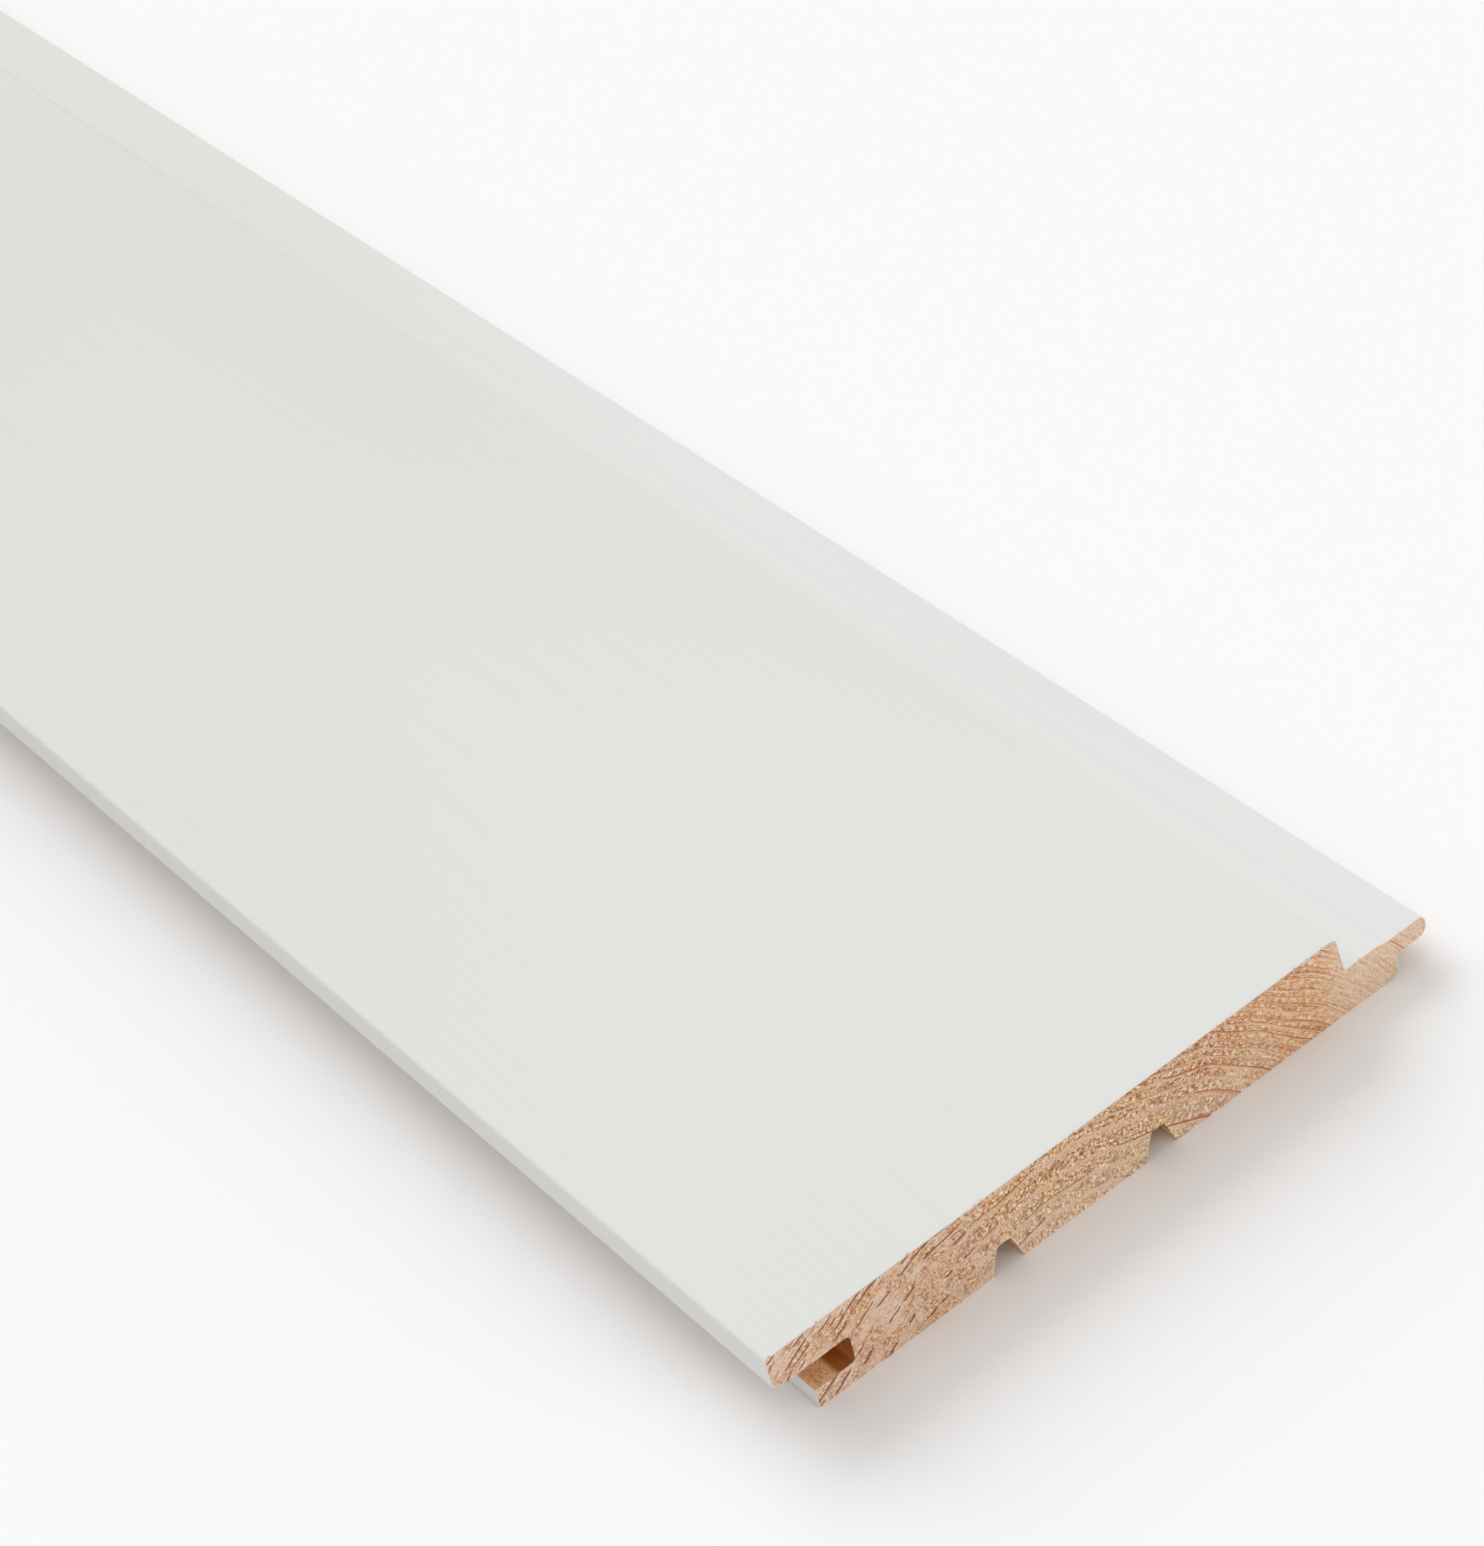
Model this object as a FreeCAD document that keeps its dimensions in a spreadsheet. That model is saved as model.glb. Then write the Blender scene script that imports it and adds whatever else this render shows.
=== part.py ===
import FreeCAD, Part
import os
import Sketcher

# A tongue and groove cladding board with a shadow-gap joint, milled from one length of softwood.
# It lies on its back with the painted face up. X runs across the board from the grooved edge to
# the tongue, Y runs along it and Z goes up. The origin is the middle of the back.

# Driving dimensions in millimetres
SIZES = {
    "board_length": 2400,
    "board_width": 120,
    "board_thickness": 15,
    # Grooved edge: a long upper lip, a slot and a shorter lower lip
    "upper_lip": 6.4,
    "slot_height": 5.0,
    "slot_depth": 13.2,
    "slot_corner_radius": 0.8,
    "lower_lip_setback": 6.0,
    "lead_in_width": 1.7,
    "lead_in_height": 1.1,
    "lip_arris_radius": 0.5,
    "lower_lip_arris_radius": 0.6,
    # Play in the closed joint, which sets the tongue by the slot that takes it
    "tip_clearance": 1.2,
    "tongue_top_clearance": 1.0,
    "tongue_bottom_clearance": 0.4,
    "lip_clearance": 0.5,
    # Tongue edge: the open gap on the face side, the rebate floor and its step down to the tongue
    "shadow_gap": 4.4,
    "gap_draft": 0.8,
    "gap_arris_radius": 1.2,
    "step_setback": 1.6,
    "step_run": 1.9,
    "tongue_tip_radius": 1.6,
    "back_bevel_width": 3.5,
    "back_bevel_height": 1.1,
    # Relief grooves in the back
    "relief_mouth": 5.6,
    "relief_ceiling": 2.4,
    "relief_depth": 4.8,
    "relief_spacing": 28.3,
    "relief_count": 2,
}

# Heights in the section, up from the back
BACK = "0"
FACE = "Sizes.board_thickness"
SLOT_TOP = f"({FACE} - Sizes.upper_lip)"
SLOT_FLOOR = f"({SLOT_TOP} - Sizes.slot_height)"
LEAD_IN_TOP = f"({SLOT_TOP} + Sizes.lead_in_height)"
REBATE_FLOOR = f"({SLOT_TOP} - Sizes.lip_clearance)"
TONGUE_TOP = f"({SLOT_TOP} - Sizes.tongue_top_clearance)"
TONGUE_UNDERSIDE = f"({SLOT_FLOOR} + Sizes.tongue_bottom_clearance)"

# Places across the section, from the edge of the upper lip to the tip of the tongue
LIP_EDGE = "(-Sizes.board_width / 2)"
TONGUE_TIP = "(Sizes.board_width / 2)"
SLOT_END = f"({LIP_EDGE} + Sizes.slot_depth)"
LEAD_IN_END = f"({LIP_EDGE} + Sizes.lead_in_width)"
LOWER_LIP_EDGE = f"({LIP_EDGE} + Sizes.lower_lip_setback)"
# The shoulder stops the next board's lower lip while the tip still has its clearance in the slot
SHOULDER = f"({TONGUE_TIP} - Sizes.slot_depth + Sizes.lower_lip_setback + Sizes.tip_clearance)"
NEXT_LIP_EDGE = f"({SHOULDER} - Sizes.lower_lip_setback)"
FACE_END = f"({NEXT_LIP_EDGE} - Sizes.shadow_gap)"
GAP_FOOT = f"({FACE_END} + Sizes.gap_draft)"
STEP_FOOT = f"({SHOULDER} - Sizes.step_setback)"
STEP_HEAD = f"({STEP_FOOT} - Sizes.step_run)"
BEVEL_START = f"({SHOULDER} - Sizes.back_bevel_width)"
# The relief grooves lie evenly about the middle of the width that one board covers
COVER_MIDDLE = f"(({LIP_EDGE} + {NEXT_LIP_EDGE}) / 2)"
FIRST_RELIEF = f"({COVER_MIDDLE} - Sizes.relief_spacing * (Sizes.relief_count - 1) / 2)"

doc = FreeCAD.newDocument("TongueAndGrooveBoard")


def write_sizes():
    """Puts every driving dimension in the sheet, with its name beside it and as its alias."""
    sheet = doc.addObject("Spreadsheet::Sheet", "Sizes")
    for row, (name, value) in enumerate(SIZES.items(), start=1):
        sheet.set(f"A{row}", name.replace("_", " "))
        sheet.set(f"B{row}", str(value))
        sheet.setAlias(f"B{row}", name)
    doc.recompute()


def origin_feature(body, role):
    return next(item for item in body.Origin.OriginFeatures if item.Role == role)


def section_outline(body, name, corners):
    """Draws a closed outline across the board, with each corner bound to its place in the section."""
    sketch = body.newObject("Sketcher::SketchObject", name)
    sketch.AttachmentSupport = (origin_feature(body, "XZ_Plane"), "")
    sketch.MapMode = "FlatFace"
    points = [FreeCAD.Vector(*(float(body.evalExpression(place)) for place in corner)) for corner in corners]
    count = len(points)
    for index in range(count):
        sketch.addGeometry(Part.LineSegment(points[index], points[(index + 1) % count]))
    for index in range(count):
        sketch.addConstraint(Sketcher.Constraint("Coincident", index, 2, (index + 1) % count, 1))
    for index, (across, height) in enumerate(corners):
        start = points[index]
        for kind, place, value in (("DistanceX", across, start.x), ("DistanceY", height, start.y)):
            if place == BACK:
                sketch.addConstraint(Sketcher.Constraint("PointOnObject", index, 1, -1))
                continue
            number = sketch.addConstraint(Sketcher.Constraint(kind, -1, 1, index, 1, value))
            sketch.setExpression(f"Constraints[{number}]", place)
    return sketch


def mill(body, name, corners):
    """Runs a cutter of the given outline along the whole board."""
    volume_before = body.Shape.Volume
    outline = section_outline(body, f"{name}_outline", corners)
    cut = body.newObject("PartDesign::Pocket", name)
    cut.Profile = outline
    cut.Type = "ThroughAll"
    cut.SideType = "Symmetric"
    doc.recompute()
    if body.Shape.Volume >= volume_before:
        raise RuntimeError(f"{name} removed nothing")
    return cut


def round_over(body, name, radius, places):
    """Rounds the long edges that lie at the given places in the section."""
    wanted = [[float(body.evalExpression(place)) for place in corner] for corner in places]
    edges = []
    for number, edge in enumerate(body.Shape.Edges, start=1):
        middle = edge.BoundBox.Center
        spans_board = edge.BoundBox.YLength > edge.BoundBox.XLength + edge.BoundBox.ZLength
        near = any(abs(middle.x - x) + abs(middle.z - z) < 1e-4 for x, z in wanted)
        if spans_board and near:
            edges.append(f"Edge{number}")
    if len(edges) != len(wanted):
        raise RuntimeError(f"{name} found {len(edges)} edges")
    milled = body.Tip
    fillet = body.newObject("PartDesign::Fillet", name)
    fillet.Base = (milled, edges)
    fillet.setExpression("Radius", f"Sizes.{radius}")
    doc.recompute()


def plane_blank(body):
    """The planed blank, as wide as the finished board over its tongue."""
    corners = [(LIP_EDGE, BACK), (TONGUE_TIP, BACK), (TONGUE_TIP, FACE), (LIP_EDGE, FACE)]
    blank = body.newObject("PartDesign::Pad", "blank")
    blank.Profile = section_outline(body, "blank_outline", corners)
    blank.SideType = "Symmetric"
    blank.setExpression("Length", "Sizes.board_length")
    doc.recompute()


def mill_grooved_edge(body):
    """The slot, the shorter lower lip and the sloped lead-in under the upper lip."""
    slot = [(LIP_EDGE, SLOT_FLOOR), (SLOT_END, SLOT_FLOOR), (SLOT_END, SLOT_TOP), (LIP_EDGE, SLOT_TOP)]
    mill(body, "edge_slot", slot)
    setback = [
        (LIP_EDGE, BACK),
        (LOWER_LIP_EDGE, BACK),
        (LOWER_LIP_EDGE, SLOT_FLOOR),
        (LIP_EDGE, SLOT_FLOOR),
    ]
    mill(body, "lower_lip", setback)
    mill(body, "lead_in", [(LIP_EDGE, SLOT_TOP), (LEAD_IN_END, SLOT_TOP), (LIP_EDGE, LEAD_IN_TOP)])
    round_over(body, "slot_corners", "slot_corner_radius", [(SLOT_END, SLOT_FLOOR), (SLOT_END, SLOT_TOP)])
    round_over(body, "lip_arris", "lip_arris_radius", [(LIP_EDGE, FACE)])
    round_over(body, "lower_lip_arris", "lower_lip_arris_radius", [(LOWER_LIP_EDGE, BACK)])


def mill_tongue_edge(body):
    """The shadow gap with its rebate, the tongue under it and the bevel at the back corner."""
    rebate = [
        (FACE_END, FACE),
        (GAP_FOOT, REBATE_FLOOR),
        (STEP_HEAD, REBATE_FLOOR),
        (STEP_FOOT, TONGUE_TOP),
        (TONGUE_TIP, TONGUE_TOP),
        (TONGUE_TIP, FACE),
    ]
    mill(body, "shadow_rebate", rebate)
    underside = [
        (SHOULDER, BACK),
        (TONGUE_TIP, BACK),
        (TONGUE_TIP, TONGUE_UNDERSIDE),
        (SHOULDER, TONGUE_UNDERSIDE),
    ]
    mill(body, "tongue_underside", underside)
    mill(body, "back_bevel", [(BEVEL_START, BACK), (SHOULDER, BACK), (SHOULDER, "Sizes.back_bevel_height")])
    tip = [(TONGUE_TIP, TONGUE_TOP), (TONGUE_TIP, TONGUE_UNDERSIDE)]
    round_over(body, "tongue_tip", "tongue_tip_radius", tip)
    round_over(body, "gap_arris", "gap_arris_radius", [(FACE_END, FACE)])


def mill_relief_grooves(body):
    """Tapered grooves in the back, which let the board lie flat as it dries."""
    corners = [
        (f"{FIRST_RELIEF} - Sizes.relief_mouth / 2", BACK),
        (f"{FIRST_RELIEF} + Sizes.relief_mouth / 2", BACK),
        (f"{FIRST_RELIEF} + Sizes.relief_ceiling / 2", "Sizes.relief_depth"),
        (f"{FIRST_RELIEF} - Sizes.relief_ceiling / 2", "Sizes.relief_depth"),
    ]
    first = mill(body, "relief_groove", corners)
    row = body.newObject("PartDesign::LinearPattern", "relief_grooves")
    row.Originals = [first]
    row.Direction = (origin_feature(body, "X_Axis"), [""])
    row.Mode = "Spacing"
    row.setExpression("Offset", "Sizes.relief_spacing")
    row.setExpression("Occurrences", "Sizes.relief_count")
    body.Tip = row
    doc.recompute()


def make_board():
    board = doc.addObject("PartDesign::Body", "board")
    board.Label = "board"
    board.Placement = FreeCAD.Placement()
    plane_blank(board)
    mill_grooved_edge(board)
    mill_tongue_edge(board)
    mill_relief_grooves(board)
    return board


def check(sub_part):
    failed = [item.Label for item in doc.Objects if {"Invalid", "Error"} & set(item.State)]
    if failed:
        raise RuntimeError(f"these did not rebuild: {failed}")
    shape = sub_part.Shape
    if shape.isNull() or not shape.isValid() or len(shape.Solids) != 1:
        raise RuntimeError(f"{sub_part.Label} is not one valid solid")


write_sizes()
board = make_board()
check(board)
os.makedirs("parts", exist_ok=True)
board.Shape.exportStep(f"parts/{board.Label}.step")
box = board.Shape.BoundBox
print(f"{board.Label}: {box.XLength:.2f} x {box.YLength:.2f} x {box.ZLength:.2f} mm")
print(f"volume {board.Shape.Volume / 1e6:.4f} litres")
print(f"covers {float(board.evalExpression(f'{NEXT_LIP_EDGE} - {LIP_EDGE}')):.2f} mm of wall")
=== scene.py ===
# %% [markdown]
# # A tongue and groove board
# The real thing is one length of softwood. A moulder planes it and cuts the joint along both edges,
# a paint line coats the face and edges, and a saw cuts it to length. So there is one piece to make,
# with three finishes: satin paint, planed bare wood and the sawn ends.
# The CAD board is loaded first. It fixes the size and the place, and the dressed board replaces it.

# %% Load the frame
import math

import bmesh
import bpy
import numpy as np
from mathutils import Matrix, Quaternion, Vector, geometry, noise


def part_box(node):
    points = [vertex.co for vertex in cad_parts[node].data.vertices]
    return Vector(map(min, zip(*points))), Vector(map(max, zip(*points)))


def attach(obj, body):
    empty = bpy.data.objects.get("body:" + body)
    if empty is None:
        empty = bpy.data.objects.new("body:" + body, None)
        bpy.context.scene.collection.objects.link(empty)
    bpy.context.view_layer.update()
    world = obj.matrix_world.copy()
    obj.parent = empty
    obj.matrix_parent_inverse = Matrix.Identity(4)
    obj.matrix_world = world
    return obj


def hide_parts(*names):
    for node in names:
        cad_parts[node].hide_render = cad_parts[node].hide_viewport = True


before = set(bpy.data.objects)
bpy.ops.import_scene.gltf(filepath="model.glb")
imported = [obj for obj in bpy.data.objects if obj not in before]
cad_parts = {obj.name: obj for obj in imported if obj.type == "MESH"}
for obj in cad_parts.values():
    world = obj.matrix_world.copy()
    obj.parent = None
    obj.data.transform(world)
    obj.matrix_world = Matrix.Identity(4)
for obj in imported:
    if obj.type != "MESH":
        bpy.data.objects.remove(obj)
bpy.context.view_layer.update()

board_low, board_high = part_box("board")
MM = 0.001
half_length = board_high.y / MM
print("CAD board, metres:", [round(side, 4) for side in board_high - board_low])

# %% [markdown]
# ## The section
# Every cutter of the moulder leaves its mark in the section, so the section is the whole design.
# It could be read off the CAD mesh, but a mesh has lost which run is painted and which is bare.
# So the corners are listed in order instead, each with its rounding and the finish of the run that
# follows it. The sizes are in millimetres, as on a workshop drawing. The CAD board gives the face and
# the two edges. The tongue takes its place from the slot that receives it, less some play.

# %% Sizes of the grooved edge
face = round(board_high.z / MM, 3)
back = 0.0
lip_edge = round(board_low.x / MM, 3)
upper_lip = 6.4
slot_height = 5.0
slot_depth = 13.2
lower_lip_setback = 6.0
lead_in_width = 1.7
lead_in_height = 1.1

slot_top = face - upper_lip
slot_floor = slot_top - slot_height
slot_end = lip_edge + slot_depth
lead_in_top = slot_top + lead_in_height
lead_in_end = lip_edge + lead_in_width
lower_lip_edge = lip_edge + lower_lip_setback
print("slot from", round(slot_floor, 2), "to", round(slot_top, 2), "mm above the back")

# %% Sizes of the tongue edge
tongue_tip = round(board_high.x / MM, 3)
tip_play = 1.2
top_play = 1.0
underside_play = 0.4
lip_play = 0.5
shadow_gap = 4.4
gap_draft = 0.8
step_setback = 1.6
step_run = 1.9
bevel_width = 3.5
bevel_height = 1.1

tongue_top = slot_top - top_play
tongue_underside = slot_floor + underside_play
rebate_floor = slot_top - lip_play
shoulder = tongue_tip - slot_depth + lower_lip_setback + tip_play
next_lip_edge = shoulder - lower_lip_setback
face_end = next_lip_edge - shadow_gap
gap_foot = face_end + gap_draft
step_foot = shoulder - step_setback
step_head = step_foot - step_run
bevel_start = shoulder - bevel_width
print("tongue", round(tongue_top - tongue_underside, 2), "mm thick in a slot of", slot_height, "mm")

# %% Sizes of the relief grooves in the back
relief_mouth = 5.6
relief_ceiling = 2.4
relief_depth = 4.8
relief_spacing = 28.3
cover_middle = (lip_edge + next_lip_edge) / 2
relief_middles = (cover_middle + relief_spacing / 2, cover_middle - relief_spacing / 2)
print("relief grooves at", [round(relief, 2) for relief in relief_middles], "mm across")

# %% Corners of the section, clockwise as seen from the near end
PAINT, PLANED, SAWN = range(3)
crisp = 0.25
worn = 0.4
lip_arris = 0.5
gap_arris = 1.2
tip_round = 1.6
lower_lip_arris = 0.6
slot_corner = 0.8

corners = [
    (lip_edge, face, lip_arris, PAINT),
    (face_end, face, gap_arris, PAINT),
    (gap_foot, rebate_floor, worn, PAINT),
    (step_head, rebate_floor, worn, PAINT),
    (step_foot, tongue_top, worn, PAINT),
    (tongue_tip, tongue_top, tip_round, PAINT),
    (tongue_tip, tongue_underside, tip_round, PLANED),
    (shoulder, tongue_underside, crisp, PAINT),
    (shoulder, bevel_height, crisp, PLANED),
    (bevel_start, back, worn, PLANED),
]
for relief in relief_middles:
    corners += [
        (relief + relief_mouth / 2, back, crisp, PLANED),
        (relief + relief_ceiling / 2, relief_depth, worn, PLANED),
        (relief - relief_ceiling / 2, relief_depth, worn, PLANED),
        (relief - relief_mouth / 2, back, crisp, PLANED),
    ]
corners += [
    (lower_lip_edge, back, lower_lip_arris, PAINT),
    (lower_lip_edge, slot_floor, crisp, PLANED),
    (slot_end, slot_floor, slot_corner, PLANED),
    (slot_end, slot_top, slot_corner, PLANED),
    (lead_in_end, slot_top, crisp, PAINT),
    (lip_edge, lead_in_top, crisp, PAINT),
]
print("corners:", len(corners))

# %% [markdown]
# ## Walking round the section
# A cutter leaves no knife-sharp corner, so each one is rounded. A bevel modifier could do that, but
# here the arcs are worked out one by one, because the same points also carry the finish of each run.
# The points lie a fraction of a millimetre apart, since the saw chips the paint at that scale.

# %% Round one corner
point_gap = 0.3
arc_step = math.radians(16)


def arc_points(before, corner, after, radius):
    """The points of the rounding at a corner."""
    arrive = (corner - before).normalized()
    leave = (after - corner).normalized()
    turn = arrive.angle_signed(leave)
    reach = radius * math.tan(abs(turn) / 2)
    start = corner - arrive * reach
    to_centre = Vector((arrive.y, -arrive.x)) * math.copysign(1, turn)
    centre = start + to_centre * radius
    steps = max(2, math.ceil(abs(turn) / arc_step), math.ceil(abs(turn) * radius / point_gap))
    spoke = start - centre
    points = []
    for step in range(steps + 1):
        angle = -turn * step / steps
        cosine, sine = math.cos(angle), math.sin(angle)
        turned = Vector((spoke.x * cosine - spoke.y * sine, spoke.x * sine + spoke.y * cosine))
        points.append(centre + turned)
    return points


print("points at most", point_gap, "mm apart along the runs")

# %% Trace the outline
def trace(corner_list):
    """The outline as points, and the finish of the stretch that starts at each point."""
    count = len(corner_list)
    places = [Vector(corner[:2]) for corner in corner_list]
    arcs = []
    for i in range(count):
        arcs.append(arc_points(places[i - 1], places[i], places[(i + 1) % count], corner_list[i][2]))
    points, finishes = [], []
    for i, arc in enumerate(arcs):
        arrives, leaves = corner_list[i - 1][3], corner_list[i][3]
        for k, point in enumerate(arc):
            points.append(point)
            finishes.append(arrives if k < len(arc) // 2 else leaves)
        following = arcs[(i + 1) % count][0]
        steps = math.ceil((following - arc[-1]).length / point_gap)
        for k in range(1, steps):
            points.append(arc[-1].lerp(following, k / steps))
            finishes.append(leaves)
    return np.array(points), np.array(finishes)


outline, run_finish = trace(corners)
stretch = np.roll(outline, -1, axis=0) - outline
stretch_length = np.linalg.norm(stretch, axis=1)
walked = np.concatenate([[0.0], np.cumsum(stretch_length)])
heading = stretch / stretch_length[:, None]
inward = np.stack([heading[:, 1], -heading[:, 0]], axis=1)
inward = inward + np.roll(inward, 1, axis=0)
inward /= np.linalg.norm(inward, axis=1)[:, None]
print(len(outline), "points,", round(walked[-1], 1), "mm round the section")

# %% [markdown]
# ## The year rings
# A board is cut from a round trunk, so one rule gives the wood on every surface: the distance to the
# pith, the heart of the tree. The pith lay below the back of this board, and the rings on the sawn
# end are arcs about it. The list holds the radius at which each year ended.
# The rule is plain arithmetic, so it takes arrays of points for the mesh here, and takes shader
# values for the colour further down. The relief and the colour then agree.

# %% Distance to the pith
pith_across, pith_up = -12.7, -35.0
pith_sway = 2.5
pith_slope = 0.0014
ring_squash = 0.92
year_ends = (
    34.0, 38.2, 41.1, 44.2, 48.2, 50.3, 52.2, 53.6, 54.9, 56.3, 57.6, 58.8, 59.9, 61.1, 62.2, 63.2,
    64.1, 64.9, 65.7, 66.4, 67.1, 68.4, 69.7, 71.3, 72.9, 74.4, 75.8, 77.4, 79.2, 81.0,
)


def pith_distance(across, along, up, sine):
    """Millimetres from the pith, which wanders a little along the trunk."""
    run = along + half_length
    sideways = (across - pith_across - pith_sway * sine(run * 0.0021)) * ring_squash
    upward = up - pith_up + pith_slope * run
    waver = 0.4 * sine(across * 0.24 + 0.35) + 0.15 * sine(across * 0.61 + run * 0.004)
    bend = 1.1 * sine(run * 0.0093) + 0.5 * (sine(run * 0.023 + across * 0.05) - sine(across * 0.05))
    return (sideways * sideways + upward * upward) ** 0.5 + waver + bend


def count_years(across, along, up):
    """The year that a point grew in. Its fraction runs from spring to autumn."""
    return np.interp(pith_distance(across, along, up, np.sin), year_ends, np.arange(len(year_ends)))


face_places = np.array([lip_edge, pith_across, face_end])
print("years across the face:", np.round(count_years(face_places, -half_length, face), 1))

# %% [markdown]
# ## The torn end
# A coarse saw tears soft spring wood out in crumbs and leaves hard autumn wood standing, so the end
# is rough in bands. Bump in a material would fade at a grazing angle and leave the mesh flat, so the
# crumbs are real relief. It only ever goes into the board, which keeps the length right.
# The middle of the end is torn the most. Towards the lip and the tongue the cut is cleaner.

# %% How badly the saw tore the end
cleanest = 0.3
torn_after = (-44, -22)
torn_until = (18, 38)


def rise(value, low, high):
    """0 below low, 1 above high, and a smooth climb between."""
    share = np.clip((value - low) / (high - low), 0, 1)
    return share * share * (3 - 2 * share)


def tearing(across):
    """From the cleanest cut to 1, across the board."""
    in_middle = rise(across, *torn_after) * (1 - rise(across, *torn_until))
    return cleanest + (1 - cleanest) * in_middle


print("tearing at both edges and the middle:", tearing(np.array([lip_edge, tongue_tip, 0.0])).round(2))

# %% Relief of the sawn end
crumb_size = 0.8
crumb_stretch = 1.25
arc_radius = 48.0
shallowest, deepest = 0.02, 0.5
cut_depth = 0.06
tear_depth = 0.05
pit_depth = 0.3
spring_depth = 0.05


def sawn_depth(points, along):
    """How far each point of the end lies inside the board, in millimetres."""
    across, up = points[:, 0], points[:, 1]
    autumn = rise(count_years(across, along, up) % 1, 0.55, 0.95)
    radius = pith_distance(across, along, up, np.sin)
    arc = np.arctan2(across - pith_across, up - pith_up) * arc_radius
    crumbs, waves = [], []
    for r, a in zip(radius, arc):
        cell = Vector((r / crumb_size, a / (crumb_stretch * crumb_size), along))
        crumbs.append(noise.voronoi(cell)[0][0])
        waves.append(noise.noise(Vector((r * 0.45, a * 0.3, along * 2))))
    pits = rise(np.array(crumbs), 0.3, 0.85)
    torn = tearing(across) * (1 - 0.75 * autumn) * (0.8 + 0.7 * np.array(waves))
    depth = cut_depth + torn * (tear_depth + pit_depth * pits) + spring_depth * (1 - autumn)
    return np.clip(depth, shallowest, deepest)


print("crumbs of", crumb_size, "mm, up to", deepest, "mm deep")

# %% [markdown]
# ## Filling the end
# The end has to be one closed skin with fine, even triangles. A grid fill would not follow the slot
# and the relief grooves, so the outline and a scatter of points inside it go through a constrained
# triangulation. A second line just inside the painted runs marks the thickness of the paint film,
# which shows on a cut end as a fine pale rim.

# %% Which points lie inside the end
def distance_to_outline(points):
    """The shortest way from each point to the outline, and whether the point is inside it."""
    nearest = np.full(len(points), np.inf)
    inside = np.zeros(len(points), bool)
    following = np.roll(outline, -1, axis=0)
    for start, end in zip(outline, following):
        edge = end - start
        share = np.clip((points - start) @ edge / (edge @ edge), 0, 1)
        nearest = np.minimum(nearest, np.linalg.norm(points - start - share[:, None] * edge, axis=1))
        spans = (start[1] > points[:, 1]) != (end[1] > points[:, 1])
        if spans.any():
            crossing = start[0] + (points[:, 1] - start[1]) / (end[1] - start[1]) * edge[0]
            inside ^= spans & (points[:, 0] < crossing)
    return nearest, inside


slot_middle = np.array([[lip_edge + slot_depth / 2, slot_floor + slot_height / 2]])
print("the middle of the slot is inside the wood:", bool(distance_to_outline(slot_middle)[1][0]))

# %% Scatter points inside the end
film = 0.16
film_room = 0.12
grain_gap = 0.235
row_height = grain_gap * 0.866  # the height of an even triangle on that side
first_row = 0.1
jitter = 0.06
rng = np.random.default_rng(7)

rows = np.arange(first_row, face, row_height)
columns = np.arange(lip_edge, tongue_tip, grain_gap)
scatter = np.stack(np.meshgrid(columns, rows), axis=-1)
scatter[1::2, :, 0] += grain_gap / 2
scatter = scatter.reshape(-1, 2)
scatter += rng.uniform(-jitter, jitter, scatter.shape)
clear, inside = distance_to_outline(scatter)
scatter = scatter[inside & (clear > film + film_room)]

painted_point = (run_finish == PAINT) & (np.roll(run_finish, 1) == PAINT)
film_points = outline[painted_point] + inward[painted_point] * film
print(len(scatter), "points inside the end,", len(film_points), "along the paint film")

# %% Triangles of the end
rim_count = len(outline)
film_count = len(film_points)
film_number = np.full(rim_count, -1)
film_number[painted_point] = rim_count + np.arange(film_count)
flat_points = np.concatenate([outline, film_points, scatter])
rim_edges = [(i, (i + 1) % rim_count) for i in range(rim_count)]
film_edges = []
for i, j in rim_edges:
    if painted_point[i] and painted_point[j]:
        film_edges.append((int(film_number[i]), int(film_number[j])))

INSIDE_ONLY = 1
same_point = 1e-6
filled = geometry.delaunay_2d_cdt(
    [Vector(point) for point in flat_points], rim_edges + film_edges, [], INSIDE_ONLY, same_point
)
source = [ids[0] for ids in filled[3]]
end_triangles = np.array([[source[i] for i in triangle] for triangle in filled[2]])

all_rim = (end_triangles < rim_count).all(axis=1)
rim_or_film = (end_triangles < rim_count + film_count).all(axis=1)
all_painted = painted_point[np.minimum(end_triangles, rim_count - 1)].all(axis=1)
in_film = (rim_or_film & ~all_rim) | (all_rim & all_painted)
end_finish = np.where(in_film, PAINT, SAWN)
print(len(end_triangles), "triangles in each end,", int(in_film.sum()), "of them paint film")

# %% [markdown]
# ## One closed skin
# The board is drawn from stations along its length: many close to each end, where the saw has
# chipped the edges, and few in the straight middle. Each station is a copy of the outline, so the
# sides are rows of quads and the two ends close the skin. An extrude in the editor would give the
# same sides, but not the chipped edges.

# %% Chips along the cut edge
coarse_swells = 0.31
fine_swells = 1.3
chip_size = 0.5
least_chip = 0.02


def chips(seed):
    """How far the saw broke the edge back at each point of the outline, in millimetres."""
    broken = []
    for distance in walked[:-1]:
        coarse = noise.noise(Vector((distance * coarse_swells, seed, 0.0)))
        fine = noise.noise(Vector((distance * fine_swells, seed, 5.0)))
        broken.append(max(0.0, coarse - 0.1) * max(0.0, fine + 0.1) * chip_size + least_chip)
    return np.array(broken)


near_seed, far_seed = 3.0, 11.0
print("largest chip at the near end:", chips(near_seed).max().round(3), "mm")

# %% Stations along the board
chip_reach = 0.7
chip_slope = 0.25
from_end = np.array([0.0, 0.15, 0.35, 0.7, 1.5, 4.0, 40.0])
straight_from = 300
straight_count = 7


def stand_across(points, along):
    """Points of the section as points of the board, so far along it."""
    return np.column_stack([points[:, 0], np.broadcast_to(along, len(points)), points[:, 1]])


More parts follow.
